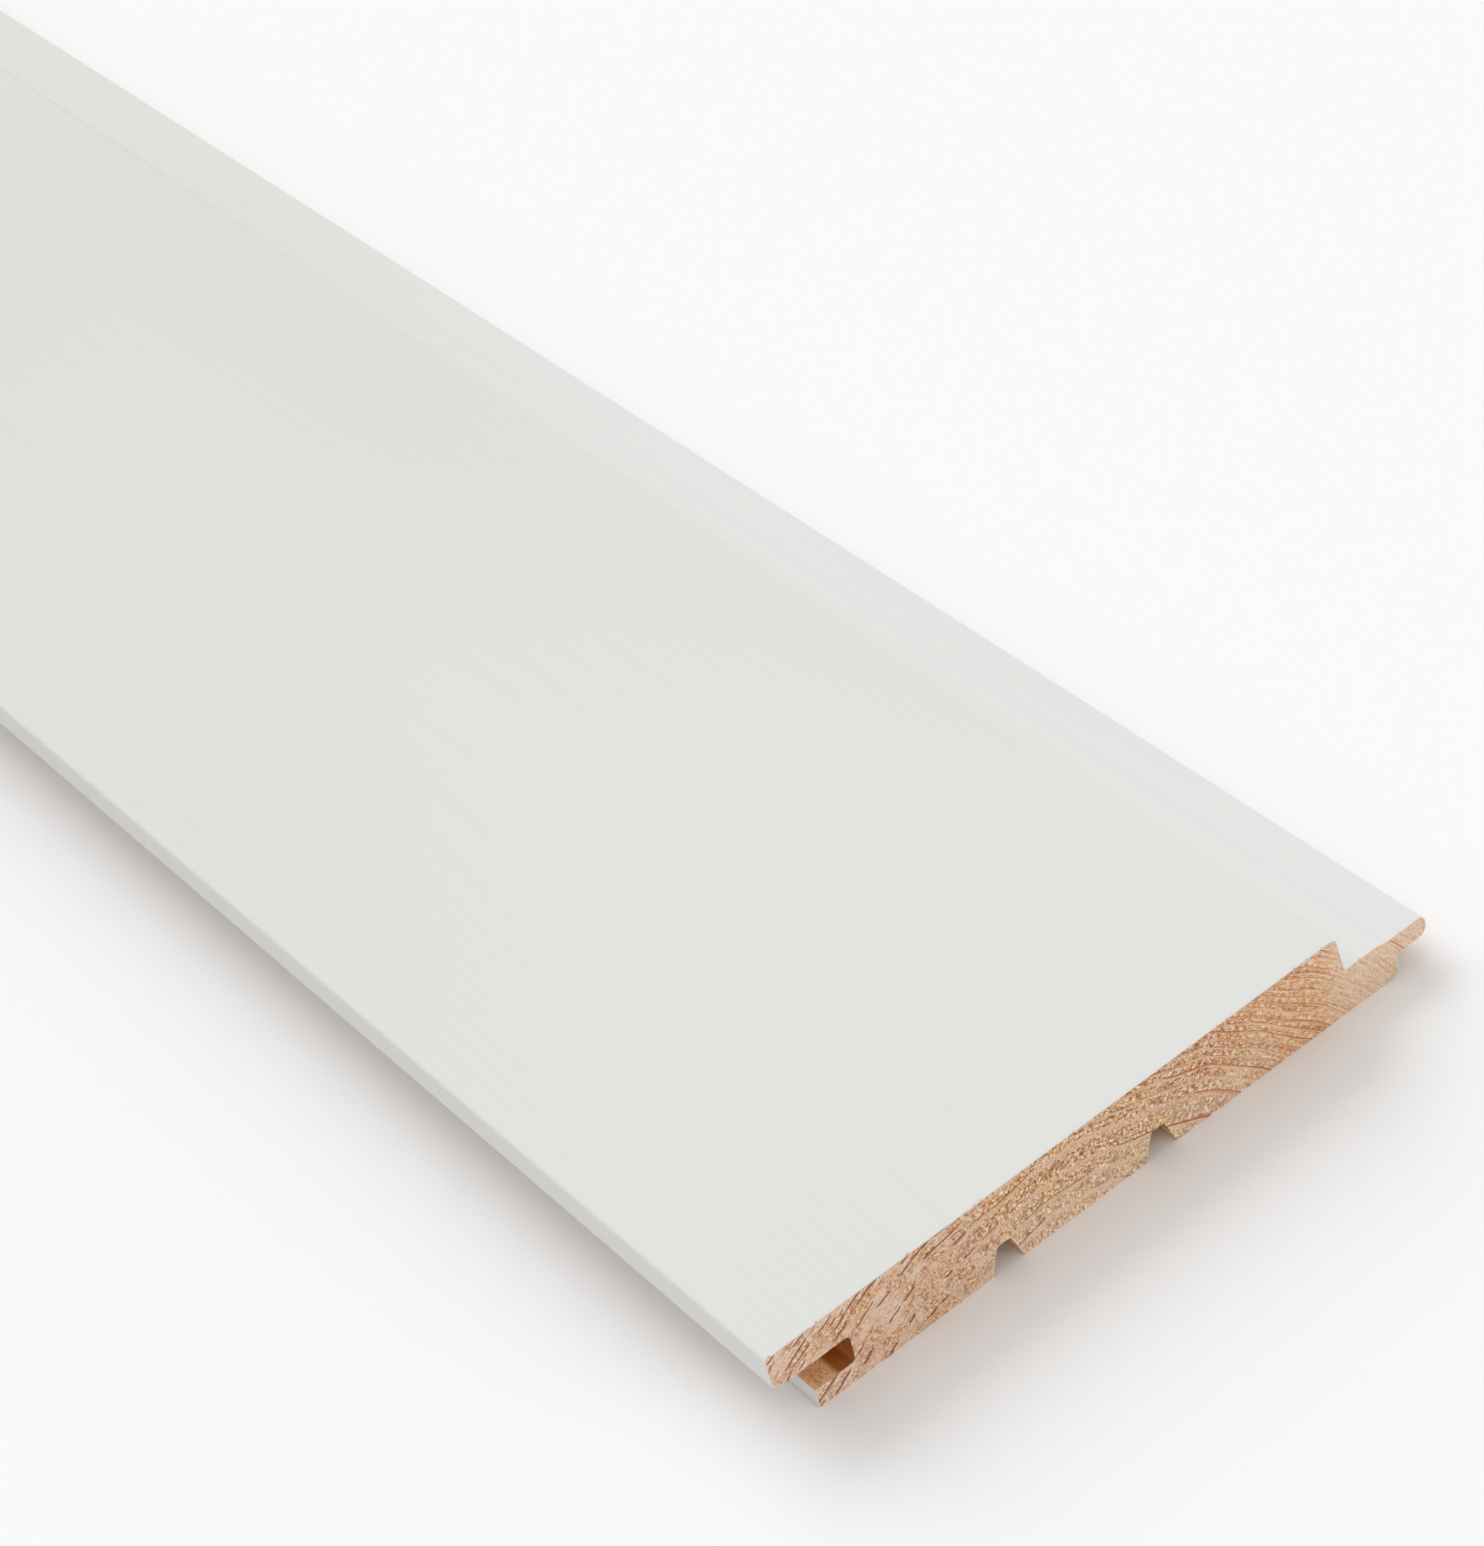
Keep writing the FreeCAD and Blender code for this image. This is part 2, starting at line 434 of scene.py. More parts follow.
def end_stations(side, seed):
    """The stations of one end, from the cut inward. Side -1 is the near end and side 1 the far one."""
    broken = chips(seed)
    made = []
    for distance in from_end:
        fade = max(0.0, 1 - distance / chip_reach) ** 1.5
        along = side * (half_length - distance)
        if distance == 0:
            along = side * (half_length - shallowest - broken * chip_slope)
        made.append(stand_across(outline + inward * (broken * fade)[:, None], along))
    return made


straight = np.linspace(-half_length + straight_from, half_length - straight_from, straight_count)
stations = end_stations(-1, near_seed)
stations += [stand_across(outline, along) for along in straight]
stations += end_stations(1, far_seed)[::-1]
print(len(stations), "stations")

# %% Sides and ends of the skin
proud_share = 0.012
proud_depth = 0.04
vertices = [np.concatenate(stations)]
faces, finishes = [], []
here = np.arange(rim_count)
there = (here + 1) % rim_count
for number in range(len(stations) - 1):
    near, far = number * rim_count, (number + 1) * rim_count
    faces += np.column_stack([near + here, near + there, far + there, far + here]).tolist()
    finishes += run_finish.tolist()
side_count = len(faces)

inner = flat_points[rim_count:]
for side, station in ((-1, 0), (1, len(stations) - 1)):
    depth = sawn_depth(inner, side * half_length)
    depth[:film_count] = shallowest
    proud = rng.random(len(depth)) < proud_share
    depth[proud] = np.minimum(depth[proud], proud_depth)
    inner_start = sum(len(block) for block in vertices) - rim_count
    vertices.append(stand_across(inner, side * (half_length - depth)))
    offset = np.where(end_triangles < rim_count, station * rim_count, inner_start)
    numbered = end_triangles + offset
    if side > 0:
        numbered = numbered[:, ::-1]
    faces += numbered.tolist()
    finishes += end_finish.tolist()
board_points = np.concatenate(vertices)
print(side_count, "faces on the sides and", len(faces) - side_count, "on the ends")

# %% Build the mesh
skin = bpy.data.meshes.new("painted_board")
skin.from_pydata((board_points * MM).tolist(), [], faces)
skin.polygons.foreach_set("material_index", np.array(finishes, np.int32))
skin.polygons.foreach_set("use_smooth", np.ones(len(faces), bool))
print(len(skin.vertices), "vertices,", len(faces), "faces")

# %% Crease the arrises and check that the skin is closed
crease_angle = math.radians(25)
edit = bmesh.new()
edit.from_mesh(skin)
open_edges = 0
for edge in edit.edges:
    if len(edge.link_faces) != 2:
        open_edges += 1
        continue
    first, second = (joined.index < side_count for joined in edge.link_faces)
    if first != second or (first and edge.calc_face_angle() > crease_angle):
        edge.smooth = False
triangles = sum(len(joined.verts) - 2 for joined in edit.faces)
litres = edit.calc_volume(signed=True) * 1000
edit.to_mesh(skin)
edit.free()
print("open edges:", open_edges, " triangles:", triangles, " litres:", round(litres, 4))

# %% [markdown]
# ## A map for a baked picture
# The finishes can be baked into a picture that is wrapped on the board. Blender's own unwrap
# would give each sawn end only a few dozen pixels, since the ends are so small beside the length.
# So the map is laid out one part at a time: each end gets a strip as wide as the picture, and the long
# sides are unrolled round the section above them.

# %% Lay out the map
strip = 0.13
gap = 0.006
margin = 0.004
map_width = 1 - 2 * margin
sides_low = 2 * (strip + gap)
sides_height = 1 - margin - sides_low

layer = skin.uv_layers.new(name="OFBake")
loop_vertex = np.zeros(len(skin.loops), np.int32)
skin.loops.foreach_get("vertex_index", loop_vertex)
across, along, up = board_points[loop_vertex].T
map_place = np.zeros((len(skin.loops), 2))

sides_corners = side_count * 4
corner_step = np.tile([0, 1, 1, 0], side_count)
corner_point = np.repeat(np.tile(here, len(stations) - 1), 4) + corner_step
map_place[:, 0] = margin + map_width * (along + half_length) / (2 * half_length)
map_place[:sides_corners, 1] = sides_low + sides_height * walked[corner_point] / walked[-1]

end_corners = len(end_triangles) * 3
for number in range(2):
    first_corner = sides_corners + number * end_corners
    end = slice(first_corner, first_corner + end_corners)
    map_place[end, 0] = margin + map_width * (across[end] - lip_edge) / (tongue_tip - lip_edge)
    map_place[end, 1] = margin + number * (strip + gap) + (strip - margin) * up[end] / face
layer.data.foreach_set("uv", map_place.ravel())
print("map from", map_place.min(axis=0).round(3), "to", map_place.max(axis=0).round(3))

# %% [markdown]
# ## Writing finishes as sums
# A finish is a sum of small effects, and a sum is easier to read as Python than as a wall of nodes.
# This class wraps one socket of a node tree. Adding or multiplying it adds the Math node for it, so
# a line of arithmetic builds its own nodes. Every other node comes from the one method `node`.

# %% The socket class, and colours as light
class Shade:
    """A value, colour or vector on its way through a finish."""

    def __init__(self, socket):
        self.socket = socket
        self.tree = socket.id_data

    def node(self, kind, settings=None, sockets=None, output=0):
        """A new node of this tree. A ramp's stops are pairs of a position and a grey level."""
        made = self.tree.nodes.new(kind)
        for name, value in (settings or {}).items():
            if name == "stops":
                ramp = made.color_ramp
                while len(ramp.elements) < len(value):
                    ramp.elements.new(1.0)
                for element, (position, level) in zip(ramp.elements, value):
                    element.position = position
                    element.color = (level, level, level, 1)
            else:
                setattr(made, name, value)
        for name, value in (sockets or {}).items():
            if isinstance(value, Shade):
                self.tree.links.new(value.socket, made.inputs[name])
            else:
                made.inputs[name].default_value = value
        return Shade(made.outputs[output])

    def maths(self, operation, first, second=0.0):
        return self.node("ShaderNodeMath", {"operation": operation}, {0: first, 1: second})

    def __add__(self, other):
        return self.maths("ADD", self, other)

    __radd__ = __add__

    def __sub__(self, other):
        return self.maths("SUBTRACT", self, other)

    def __rsub__(self, other):
        return self.maths("SUBTRACT", other, self)

    def __mul__(self, other):
        return self.maths("MULTIPLY", self, other)

    __rmul__ = __mul__

    def __truediv__(self, other):
        return self.maths("DIVIDE", self, other)

    def __pow__(self, other):
        return self.maths("POWER", self, other)

    def sine(self):
        return self.maths("SINE", self)

    def fraction(self):
        return self.maths("FRACT", self)

    def whole(self):
        return self.maths("FLOOR", self)

    def size(self):
        return self.maths("ABSOLUTE", self)

    def rise(self, low, high):
        """0 below low, 1 above high, and a smooth climb between. It falls if low is above high."""
        ends = {"Value": self, "From Min": low, "From Max": high}
        return self.node("ShaderNodeMapRange", {"interpolation_type": "SMOOTHSTEP"}, ends)

    def blend(self, first, second):
        """first where this value is 0 and second where it is 1. Both are colours."""
        FACTOR, FIRST, SECOND, RESULT = 0, 6, 7, 2
        sockets = {FACTOR: self, FIRST: first, SECOND: second}
        return self.node("ShaderNodeMix", {"data_type": "RGBA"}, sockets, RESULT)


def colour(red, green, blue):
    """A screen colour as the light values that Blender works in."""
    levels = [level / 255 for level in (red, green, blue)]
    return tuple(v / 12.92 if v <= 0.04045 else ((v + 0.055) / 1.055) ** 2.4 for v in levels) + (1.0,)


print("a mid grey is", round(colour(128, 128, 128)[0], 3), "in light")

# %% [markdown]
# ## Reading the wood
# Each finish starts from the same readings at a point of the board: its place in millimetres, its
# distance to the pith, the season in which the wood there grew, and cloudy patterns at a few sizes.
# A ramp holds the list of year ends, since it can turn a radius into a count of years.

# %% Readings of a point
class Wood:
    """A new material with the readings that its finish is made from."""

    def __init__(self, name):
        self.material = bpy.data.materials.new(name)
        self.material.use_nodes = True
        self.tree = self.material.node_tree
        self.shader = self.tree.nodes["Principled BSDF"]
        metres = Shade(self.shader.outputs["BSDF"]).node("ShaderNodeTexCoord", output="Object")
        enlarged = {0: metres, "Scale": 1 / MM}
        self.place = metres.node("ShaderNodeVectorMath", {"operation": "SCALE"}, enlarged)
        self.across, self.along, self.up = (self.axis(number) for number in range(3))
        self.radius = pith_distance(self.across, self.along, self.up, Shade.sine)
        self.years = self.count_years()

    def axis(self, number):
        return self.place.node("ShaderNodeSeparateXYZ", sockets={0: self.place}, output=number)

    def count_years(self):
        """The count of years at a point, as in the function of that name."""
        first, last, count = year_ends[0], year_ends[-1], len(year_ends) - 1
        stops = []
        for number, year_end in enumerate(year_ends):
            stops.append(((year_end - first) / (last - first), number / count))
        share = (self.radius - first) / (last - first)
        return share.node("ShaderNodeValToRGB", {"stops": stops}, {0: share}) * count

    def to_end(self):
        """Millimetres to the nearer end of the board."""
        return half_length - self.along.size()

    def cloud(self, swells, detail=2.0, roughness=0.5, place=None):
        """A cloudy pattern from 0 to 1, with so many swells to the millimetre each way."""
        place = place or self.place
        stretched = place.node("ShaderNodeVectorMath", {"operation": "MULTIPLY"}, {0: place, 1: swells})
        sockets = {"Vector": stretched, "Scale": 1.0, "Detail": detail, "Roughness": roughness}
        return place.node("ShaderNodeTexNoise", sockets=sockets)

    def finish(self, height, **values):
        """Feeds the shader. The height of the surface is in millimetres."""
        for name, value in values.items():
            socket = self.shader.inputs[name.replace("_", " ")]
            if isinstance(value, Shade):
                self.tree.links.new(value.socket, socket)
            else:
                socket.default_value = value
        relief = {"Height": height, "Distance": MM, "Strength": 1.0}
        bump = height.node("ShaderNodeBump", sockets=relief)
        self.tree.links.new(bump.socket, self.shader.inputs["Normal"])
        return self.material


print("a ramp of", len(year_ends), "stops counts the years")

# %% [markdown]
# ## Satin paint
# The paint is a warm white, sprayed and dried on a line. It looks even, but a single flat colour
# would look like plastic. So it drifts very slightly in tone, the autumn wood telegraphs through as
# faint long ridges, and the skin has a fine orange peel. Painted light makes the rebate and the
# tongue a shade whiter near the near end. Painted shade darkens the coat away from the near end,
# most on the arris above them. At the saw cut a few specks have chipped off.

# %% Paint finish
paint_white = colour(226, 226, 223)
# Thin paint, and also the painted shade away from the near end
paint_thin_and_shade = colour(216, 217, 213)
# Painted light on the rebate and the tongue near the near end
rebate_painted_light = colour(231, 232, 230)
# Painted shade along the step down to the tongue
painted_step_shade = colour(210, 211, 208)
chipped_wood = colour(222, 186, 152)
# Painted shade grows between these places along the board, in millimetres from the near end
shade_from, shade_full_from = 70, 350
shade_slant = 1.2
arris_start, arris_full, arris_over = face_end - 1.6, face_end - 0.6, face_end + 0.6
strip_start, strip_full = face_end - 1.5, face_end + 1.0
step_over = step_foot + 0.8
chips_within, chips_full = 0.26, 0.08


def satin_paint():
    wood = Wood("satin_paint")
    autumn = wood.years.fraction().rise(0.6, 0.95)
    drift = wood.cloud((0.011, 0.004, 0.011), 1.0)
    peel = wood.cloud((1.1, 0.9, 1.1), 3.0)
    streaks = wood.cloud((1.6, 0.012, 1.6))

    shade_place = wood.along - shade_slant * wood.across
    far = shade_place.rise(shade_from - half_length, shade_full_from - half_length)
    arris_shade = wood.across.rise(arris_start, arris_full) * wood.across.rise(arris_over, face_end)
    lit_strip = wood.across.rise(strip_start, strip_full) * (1 - far)
    on_step = wood.across.rise(step_head, step_foot) * wood.across.rise(step_over, step_foot)
    chipped = wood.cloud((1.3, 0.5, 1.3)).rise(0.63, 0.7) * wood.to_end().rise(chips_within, chips_full)

    thin_and_shade = drift.rise(0.42, 0.75) * 0.35 + autumn * 0.06 + streaks.rise(0.55, 0.8) * 0.08
    # Painted shade darkens the paint away from the near end, most on the arris above the rebate
    thin_and_shade = thin_and_shade + far * (0.47 + 0.4 * arris_shade)
    coat = thin_and_shade.blend(paint_white, paint_thin_and_shade)
    # Painted light makes the rebate and the tongue a shade whiter near the near end
    coat = (lit_strip * 0.4).blend(coat, rebate_painted_light)
    # Painted shade along the step down to the tongue
    coat = (on_step * 0.12).blend(coat, painted_step_shade)
    tone = chipped.blend(coat, chipped_wood)
    dullness = 0.58 + 0.08 * peel + 0.05 * streaks + 0.2 * chipped
    height = 0.004 * peel + 0.006 * autumn + 0.004 * streaks - 0.1 * chipped
    return wood.finish(height, Base_Color=tone, Roughness=dullness, Specular_IOR_Level=0.12)


paint_finish = satin_paint()
print("paint nodes:", len(paint_finish.node_tree.nodes))

# %% [markdown]
# ## Planed bare wood
# The back, the relief grooves and the inside of the slot stay bare. Planed softwood is straw in
# spring wood and tan in autumn wood, with fibres and short resin lines along the length and a faint
# ripple where each knife of the cutter head came round. Inside the slot the wood is crumbly, and
# painted light makes it paler. Painted shade darkens the slot's end, with a warmer painted glow of
# bounced light at its foot. A mist of paint has drifted onto the ceiling just inside the mouth. A
# ready picture of wood would not match the sawn end, so both take their year rings from the same
# readings.

# %% Grain of planed wood
straw = colour(240, 202, 156)
tan = colour(196, 134, 80)
fibre_dark = colour(174, 116, 68)
fibre_pale = colour(246, 214, 172)


class PlanedWood(Wood):
    """The readings of wood that was planed along its fibres."""

    def __init__(self, name):
        super().__init__(name)
        self.fibres = self.cloud((2.4, 0.02, 2.4), 4.0, 0.65)
        self.strands = self.cloud((0.5, 0.004, 0.5), 3.0, 0.6)
        self.bands = self.cloud((0.12, 0.002, 0.12))
        self.resin = self.cloud((1.4, 0.05, 1.4), 1.0).rise(0.68, 0.74)
        year_part = (self.years + 0.2 * (self.strands - 0.5)).fraction()
        self.autumn = year_part.rise(0.45, 0.92) * year_part.rise(1.0, 0.96)

    def grain(self):
        """The tone of the bands, strands and fibres."""
        tone = (self.autumn * (0.35 + 0.7 * self.bands)).blend(straw, tan)
        tone = (self.strands.rise(0.5, 0.3) * 0.6).blend(tone, fibre_pale)
        tone = (self.strands.rise(0.52, 0.7) * 0.35).blend(tone, tan)
        tone = (self.fibres.rise(0.5, 0.85) * 0.55).blend(tone, fibre_dark)
        return (self.resin * (0.25 + 0.5 * self.autumn)).blend(tone, fibre_dark)


print("straw to tan, red in light:", round(straw[0], 2), "to", round(tan[0], 2))

# %% Planed finish
# Painted shade for the slot's end, and a warmer painted glow of bounced light at its foot
slot_end_painted_shade = colour(136, 72, 10)
painted_bounce_glow = colour(172, 92, 16)
# Painted light that makes the inside of the slot paler
slot_painted_light = colour(255, 204, 150)
knife_pitch = 1.7
slot_edge = 0.3
slot_back = slot_end + 1
slot_shade_start, slot_shade_full = slot_end - 3.0, slot_end - 1.8
glow_top, glow_full = slot_floor + 2.4, slot_floor + 0.2
mist_within = lower_lip_edge + 1.5
mist_low, mist_full = slot_top - 0.5, slot_top - 0.1


def planed_wood():
    wood = PlanedWood("planed_softwood")
    in_slot = wood.up.rise(slot_floor - slot_edge, slot_floor)
    in_slot = in_slot * wood.up.rise(slot_top + slot_edge, slot_top)
    in_slot = in_slot * wood.across.rise(slot_back, slot_end)
    crumbly = wood.cloud((3.4, 2.0, 3.4), 4.0, 0.62) * in_slot
    slot_end_shade = (wood.across + 1.2 * wood.fibres).rise(slot_shade_start, slot_shade_full) * in_slot
    mist = wood.across.rise(mist_within, lead_in_end) * wood.up.rise(mist_low, mist_full)
    ripple = (wood.along * (2 * math.pi / knife_pitch)).sine()

    # Painted light makes the inside of the slot paler
    tone = (in_slot * 0.6).blend(wood.grain(), slot_painted_light)
    tone = (crumbly.rise(0.48, 0.62) * 0.6).blend(tone, fibre_dark)
    shade_and_glow = wood.up.rise(glow_top, glow_full).blend(slot_end_painted_shade, painted_bounce_glow)
    # Painted shade at the slot's end, with the warmer painted glow at its foot
    tone = (slot_end_shade * 0.96).blend(tone, shade_and_glow)
    tone = (mist * 0.85).blend(tone, paint_thin_and_shade)
    dullness = 0.5 + 0.18 * wood.fibres
    height = 0.006 * ripple + 0.03 * wood.fibres + 0.015 * wood.autumn
    return wood.finish(height, Base_Color=tone, Roughness=dullness)


planed_finish = planed_wood()
print("planed wood nodes:", len(planed_finish.node_tree.nodes))

# %% [markdown]
# ## The sawn end
# The end shows the wood across its fibres. Spring wood is torn to golden crumbs with darker pits,
# autumn wood stays smooth and a little pink, and a thin red-brown line closes each year. On the lip
# side the lines come and go as dashes. Past the middle they run on beside long streaks, and the tongue
# is paler and calmer, with only the strong lines left. The pale crumbs and dark pits are partly
# painted highlight and painted shade, and painted light makes the lower middle paler.
# The end could take a picture of real wood, but a picture would not follow the rings of the mesh. So
# every pattern is laid out from the pith: so far out from it, and so far round it.

# %% Regions and patterns of the end
lip_fade = (-16, -34)
far_fade = (2, 18)
streaks_fade = (14, 34)
tongue_fade = (37, 45)


class SawnWood(Wood):
    """The readings of the sawn end: the region of a point and the patterns round the pith."""

    def __init__(self, name):
        super().__init__(name)
        self.lip_side = self.across.rise(*lip_fade)
        self.far_side = self.across.rise(*far_fade)
        self.streaky = self.across.rise(*streaks_fade)
        self.tongue_side = self.across.rise(*tongue_fade)

        angle = self.up.maths("ARCTAN2", self.across - pith_across, self.up - pith_up)
        self.arc = angle * arc_radius
        out_and_round = {0: self.radius, 1: self.arc, 2: self.along}
        rings = angle.node("ShaderNodeCombineXYZ", sockets=out_and_round)
        self.crumbs = self.cloud((2.0, 1.6, 0.3), 4.0, 0.62, rings)
        self.grains = self.cloud((4.0, 3.4, 0.5), 3.0, 0.6, rings)
        self.hatch = self.cloud((3.0, 0.5, 0.1), 2.0, 0.5, rings)
        self.streaks = self.cloud((2.4, 0.09, 0.05), 3.0, 0.55, rings)
        self.patches = self.cloud((0.36, 0.2, 0.05), 1.5, 0.5, rings)

        self.year = self.years.whole()
        self.year_part = (self.years + 0.12 * (self.grains - 0.5)).fraction()
        self.autumn = self.year_part.rise(0.56, 0.8)
        self.clean = self.patches.rise(0.52, 0.45) * self.lip_side


print("lip side up to", lip_fade[1], "mm, tongue from", tongue_fade[1], "mm across")

# %% Tones of the rings
crumb = colour(228, 184, 142)
golden = colour(230, 178, 112)
autumn_pink = colour(232, 194, 170)
lip_shade = colour(190, 150, 132)
pale_wood = colour(242, 216, 194)
tongue_wood = colour(236, 208, 178)
tongue_line = colour(184, 98, 46)
lower_lip_fade = (slot_end + 3, slot_end - 2)
under_slot_fade = (slot_floor + 1, slot_floor - 1)
darker_pick = 0.618


def ring_tones(wood):
    """Spring and autumn wood, with the shade of each region."""
    lower_lip = wood.across.rise(*lower_lip_fade) * wood.up.rise(*under_slot_fade)
    darker_year = (wood.year * darker_pick).fraction().rise(0.45, 0.8)
    patchy = wood.patches.rise(0.46, 0.58) * (0.45 - 0.25 * wood.lip_side)
    tone = (wood.autumn * 0.8).blend(crumb, autumn_pink)
    tone = (wood.lip_side * 0.3).blend(tone, lip_shade)
    tone = patchy.blend(tone, golden)
    tone = (wood.clean * 0.6).blend(tone, pale_wood)
    tone = (lower_lip * 0.6).blend(tone, pale_wood)
    tone = (wood.streaky * 0.35).blend(tone, golden)
    tone = (wood.far_side * darker_year * 0.3).blend(tone, tongue_line)
    return (wood.tongue_side * 0.85).blend(tone, tongue_wood)


def streaked(wood, tone):
    """Short hatching and long streaks that follow the rings, calmer on the tongue."""
    calm = 1 - 0.5 * wood.tongue_side
    pale_hatch = wood.hatch.rise(0.5, 0.36) * (0.15 * wood.lip_side + 0.5 * wood.far_side)
    dark_hatch = wood.hatch.rise(0.52, 0.66) * (0.2 + 0.2 * wood.lip_side + 0.25 * wood.streaky) * calm
    pale_streaks = wood.streaks.rise(0.46, 0.32) * wood.far_side * 0.5
    dark_streaks = wood.streaks.rise(0.52, 0.64) * (0.1 + 0.5 * wood.far_side) * calm
    tone = pale_hatch.blend(tone, pale_wood)
    tone = dark_hatch.blend(tone, tongue_line)
    tone = pale_streaks.blend(tone, pale_wood)
    return dark_streaks.blend(tone, tongue_line)


print("spring to autumn wood, blue in light:", round(crumb[2], 2), "to", round(autumn_pink[2], 2))

# %% Crumbs and pits
# Crumb tone with painted highlight, and pit tone with painted shade
crumb_tone_and_highlight = colour(255, 240, 212)
pit_tone_and_shade = colour(156, 92, 44)
pit_shade_depth = (0.22, 0.42)
# Where the painted light on the lower middle of the end fades out
low_light_fade = (8, 3)
low_light_lip_fade = (-32, -16)
low_light_far_fade = (36, 22)


def crumbled(wood, tone):
    """Pale crumbs and dark pits where the saw tore the wood, partly their own tone and partly painted
    highlight and painted shade; painted shade deepens into the cut, and painted light lifts the lower
    middle.
    """
    low_painted_light = wood.up.rise(*low_light_fade) * wood.across.rise(*low_light_lip_fade)
    low_painted_light = low_painted_light * wood.across.rise(*low_light_far_fade)
    loose = (1 - 0.4 * wood.lip_side) * (1 - 0.75 * wood.autumn) * (1 - 0.55 * wood.streaky)
    loose = loose * (1 - 0.6 * wood.clean) * (1 - 0.6 * wood.tongue_side)
    fine = (1 - 0.45 * wood.streaky) * (1 - 0.4 * wood.clean)
    tone = (wood.crumbs.rise(0.52, 0.6) * loose).blend(tone, crumb_tone_and_highlight)
    tone = (wood.crumbs.rise(0.48, 0.4) * loose).blend(tone, pit_tone_and_shade)
    tone = (wood.grains.rise(0.54, 0.66) * fine * 0.5).blend(tone, crumb_tone_and_highlight)
    tone = (wood.grains.rise(0.46, 0.34) * fine * 0.7).blend(tone, pit_tone_and_shade)
    # Painted shade that deepens into the cut
    tone = (wood.to_end().rise(*pit_shade_depth) * 0.45).blend(tone, pit_tone_and_shade)
    # Painted light that lifts the lower middle of the end
    return (low_painted_light * 0.2).blend(tone, crumb_tone_and_highlight)


print("pits darken from", pit_shade_depth[0], "mm inside the cut")

# %% Lines that close the years
lip_line = colour(142, 78, 48)
wide_lines_fade = (48, 57)
year_apart = 7.3
strong_pick, first_pick = 0.7475, 0.05


def year_lines(wood, tone):
    """Dashes on the lip side, broken lines in the middle and long ones past it."""
    dash_place = wood.arc.node("ShaderNodeCombineXYZ", sockets={0: wood.year * year_apart, 1: wood.arc})
    short = wood.cloud((1.0, 0.31, 1.0), 1.0, 0.5, dash_place)
    long = wood.cloud((1.0, 0.07, 1.0), 1.0, 0.5, dash_place)
    strong = (wood.year * strong_pick + first_pick).fraction()
    between = 1 - wood.lip_side - wood.far_side
    width = wood.lip_side * short.rise(0.47, 0.62) * (0.19 + 0.17 * wood.radius.rise(*wide_lines_fade))
    width = width + between * long.rise(0.43, 0.56) * 0.1
    width = width + wood.far_side * 0.05 * (1 - wood.tongue_side)
    width = width + wood.far_side * 0.22 * strong * long.rise(0.3, 0.6) * (1 - 0.35 * wood.tongue_side)
    line = (wood.year_part + width).rise(1.0, 1.09)
    ink = wood.far_side.blend(lip_line, tongue_line)
    return (line * 0.9).blend(tone, ink)


print("lines widen between", wide_lines_fade[0], "and", wide_lines_fade[1], "mm from the pith")

# %% Sawn finish
def sawn_end():
    wood = SawnWood("sawn_end")
    tone = ring_tones(wood)
    tone = streaked(wood, tone)
    tone = crumbled(wood, tone)
    tone = year_lines(wood, tone)
    height = 0.08 * wood.grains + 0.1 * wood.crumbs
    return wood.finish(height, Base_Color=tone, Roughness=0.85 - 0.15 * wood.autumn)


sawn_finish = sawn_end()
print("sawn end nodes:", len(sawn_finish.node_tree.nodes))

# %% [markdown]
# ## The dressed board
# The skin gets its three finishes in the order that the faces were numbered, and becomes one object.
# It takes the place of the CAD board and moves with its body.

# %% Place the board
for finish in (paint_finish, planed_finish, sawn_finish):
    skin.materials.append(finish)
painted_board = bpy.data.objects.new("painted_board", skin)
bpy.context.scene.collection.objects.link(painted_board)
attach(painted_board, "root")
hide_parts("board")
print("dressed board:", painted_board.name, "with", len(skin.materials), "finishes")

# %% [markdown]
# ## The floor
# The floor is a plain pale sheet, level with the back that the board lies on. It is dull, so it shows
# the soft shade round the board and no reflection, and it runs on past the edges of the picture.

# %% Make the floor
floor_reach = 30.0
square = ((-1, -1), (1, -1), (1, 1), (-1, 1))
floor_points = [(x * floor_reach, y * floor_reach, board_low.z) for x, y in square]
floor_sheet = bpy.data.meshes.new("floor")
floor_sheet.from_pydata(floor_points, [], [(0, 1, 2, 3)])
floor = bpy.data.objects.new("floor", floor_sheet)
bpy.context.scene.collection.objects.link(floor)
floor_white = colour(250, 250, 250)
floor_finish = bpy.data.materials.new("floor_white")
floor_finish.use_nodes = True
floor_shader = floor_finish.node_tree.nodes["Principled BSDF"]
floor_shader.inputs["Base Color"].default_value = floor_white
floor_shader.inputs["Roughness"].default_value = 1.0
floor_shader.inputs["Specular IOR Level"].default_value = 0.0
floor_sheet.materials.append(floor_finish)
print("floor", 2 * floor_reach, "m square")

# %% [markdown]
# ## Light
# The light is a bright, even room with one broad soft lamp low behind the board, which leaves a
# narrow shade along the lip and a wider one in front of the sawn end. A high lamp softens that shade
# and a weak one in front fills the sawn end. Room and lamps together light a level surface with
# strength 1, so a colour comes out about as it is written.
# To the camera the room looks as white as the floor, so that the floor has no visible edge.

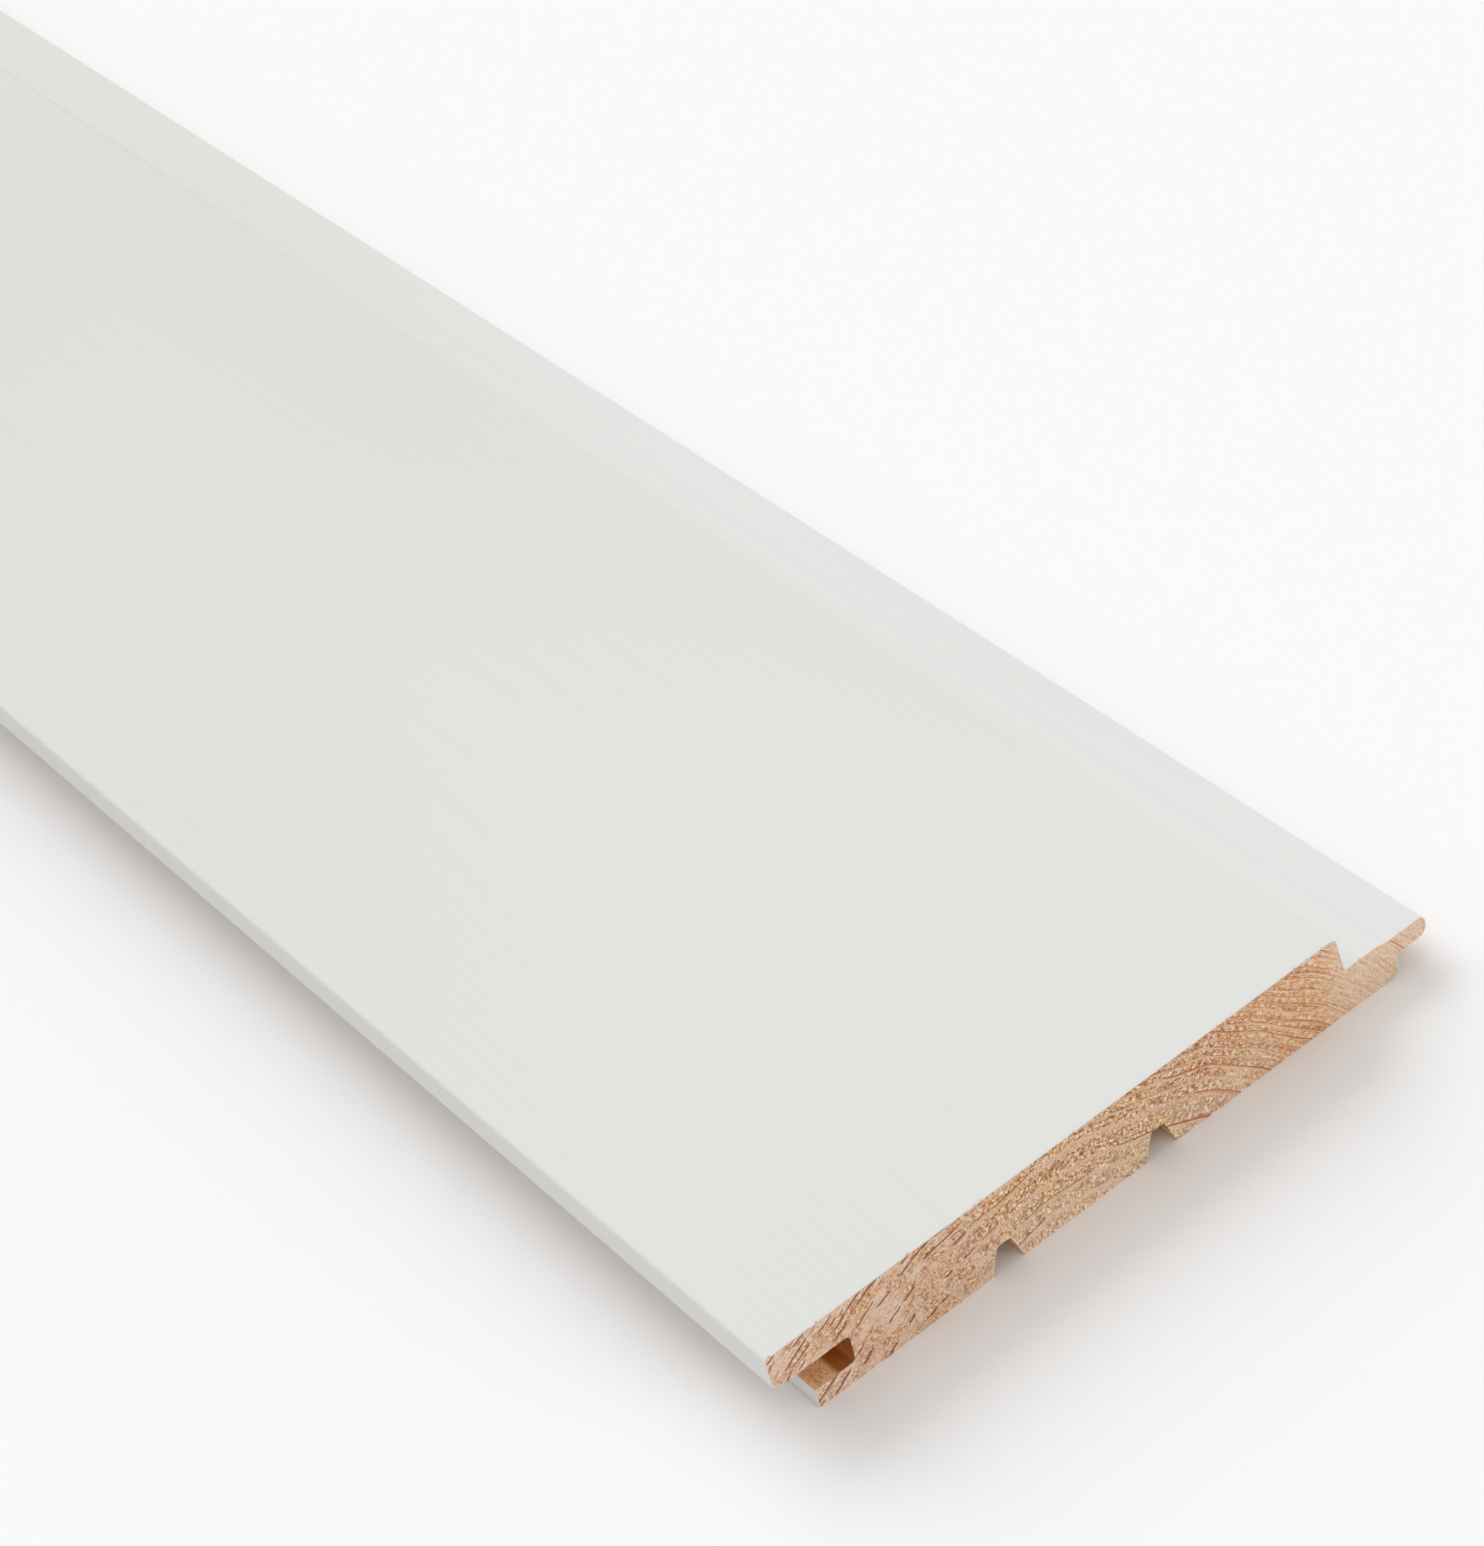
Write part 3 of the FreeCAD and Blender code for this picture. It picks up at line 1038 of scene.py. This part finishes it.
# %% The room
# Each lamp has its share of the light on a level surface, the way towards it and how wide it is
lamps = {
    "soft_lamp": (0.29, Vector((0.0, 0.84, 0.54)), math.radians(50)),
    "high_lamp": (0.08, Vector((0.0, 0.34, 0.94)), math.radians(60)),
    "front_lamp": (0.04, Vector((0.48, -0.84, 0.25)), math.radians(30)),
}
room_share = 1 - sum(share for share, _, _ in lamps.values())

room = bpy.data.worlds.new("room")
room.use_nodes = True
bpy.context.scene.world = room
background = room.node_tree.nodes["Background"]
background.inputs["Color"].default_value = (1, 1, 1, 1)
seen = Shade(background.outputs["Background"]).node("ShaderNodeLightPath", output="Is Camera Ray")
for kind in ("Is Glossy Ray", "Is Transmission Ray"):
    seen = seen.maths("MAXIMUM", seen, seen.node("ShaderNodeLightPath", output=kind))
strength = seen * (floor_white[0] - room_share) + room_share
room.node_tree.links.new(strength.socket, background.inputs["Strength"])
print("the room gives", round(room_share, 2), "of the light on a level surface")

# %% The lamps
for name, (share, towards, spread) in lamps.items():
    lamp = bpy.data.lights.new(name, "SUN")
    lamp.energy = share * math.pi / towards.normalized().z
    lamp.angle = spread
    holder = bpy.data.objects.new(name, lamp)
    holder.rotation_euler = towards.to_track_quat("Z", "Y").to_euler()
    bpy.context.scene.collection.objects.link(holder)
bpy.context.scene.view_settings.view_transform = "Standard"
print("lamps:", ", ".join(lamps))

# %% [markdown]
# ## Camera
# The camera looks down along the board from beyond its near end, over the corner of the upper lip.
# Its place was found by fitting the section to the outline of the sawn end. It is measured from that
# corner, so the view stays put if the board is made longer. It is rolled, so the edges fall steeply.

# %% Place the camera
near_corner = Vector((board_low.x, board_low.y, board_high.z))
stands_at = near_corner + Vector((-0.16888, -0.35103, 0.42850))
looks_at = near_corner + Vector((0.07009, 0.09449, 0.0))
rolled_by = math.radians(14.9)
lens_mm = 101.9
sees_as_far_as = 200.0
camera = bpy.data.objects.new("camera", bpy.data.cameras.new("camera"))
camera.data.lens = lens_mm
camera.data.clip_end = sees_as_far_as
camera.location = stands_at
gaze = (looks_at - stands_at).to_track_quat("-Z", "Y") @ Quaternion((0, 0, 1), -rolled_by)
camera.rotation_euler = gaze.to_euler()
bpy.context.scene.collection.objects.link(camera)
bpy.context.scene.camera = camera
print("camera", round((looks_at - stands_at).length, 3), "m from the point it looks at")
